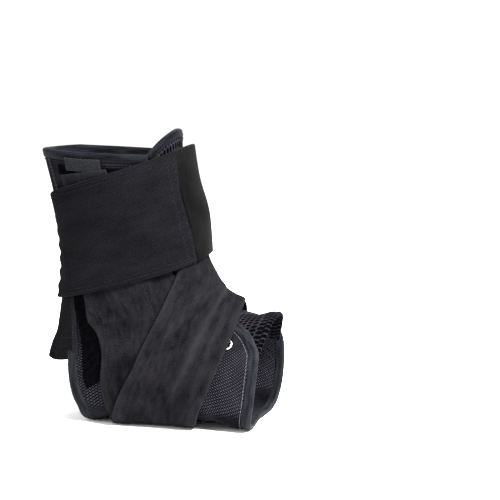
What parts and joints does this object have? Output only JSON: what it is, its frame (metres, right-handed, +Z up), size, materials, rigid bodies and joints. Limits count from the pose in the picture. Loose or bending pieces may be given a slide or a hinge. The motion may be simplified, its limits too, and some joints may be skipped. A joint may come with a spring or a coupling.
{
  "type": "ankle brace",
  "caption": "Lace-up ankle brace with two crossing stabiliser straps under the sole and an elastic cuff closed by a front tab.",
  "frame": {"origin": "on the floor, at the middle of the over strap's flat underside", "axes": "+X towards the front opening, -Y to the outer side, +Z up"},
  "size_m": [0.1572, 0.0938, 0.188],
  "materials": {
    "side_panel": "dotted mesh, matt",
    "loop_pile": "brushed loop pile, matt",
    "rear_elastic": "diagonal elastic weave, matt",
    "binding": "rolled woven tape, soft sheen",
    "strap": "supple woven nylon, matt",
    "cuff_elastic": "fine ribbed elastic, matt",
    "tab": "smooth closely woven cloth, satin",
    "hook_tab": "short stiff hooks, matt",
    "tongue_mesh": "honeycomb spacer mesh, matt",
    "lace": "flat woven lace, matt",
    "eyelet": "bright nickel"
  },
  "bodies": {
    "root": {"lateral_panel": "side_panel", "lateral_loop_pile": "loop_pile", "lateral_front_binding": "binding", "lateral_eyelet_1": "eyelet", "lateral_eyelet_2": "eyelet", "lateral_eyelet_3": "eyelet", "lateral_eyelet_4": "eyelet", "lateral_eyelet_5": "eyelet", "lateral_hook_tab": "hook_tab", "medial_panel": "side_panel", "medial_loop_pile": "loop_pile", "medial_front_binding": "binding", "medial_eyelet_1": "eyelet", "medial_eyelet_2": "eyelet", "medial_eyelet_3": "eyelet", "medial_eyelet_4": "eyelet", "medial_eyelet_5": "eyelet", "medial_hook_tab": "hook_tab", "rear_elastic_panel": "rear_elastic", "top_binding": "binding", "heel_binding": "binding", "under_strap": "strap", "over_strap": "strap", "cuff_band": "cuff_elastic", "cuff_tab": "tab", "tongue": "tongue_mesh", "tongue_binding": "binding", "lace": "lace"}
  },
  "joints": []
}
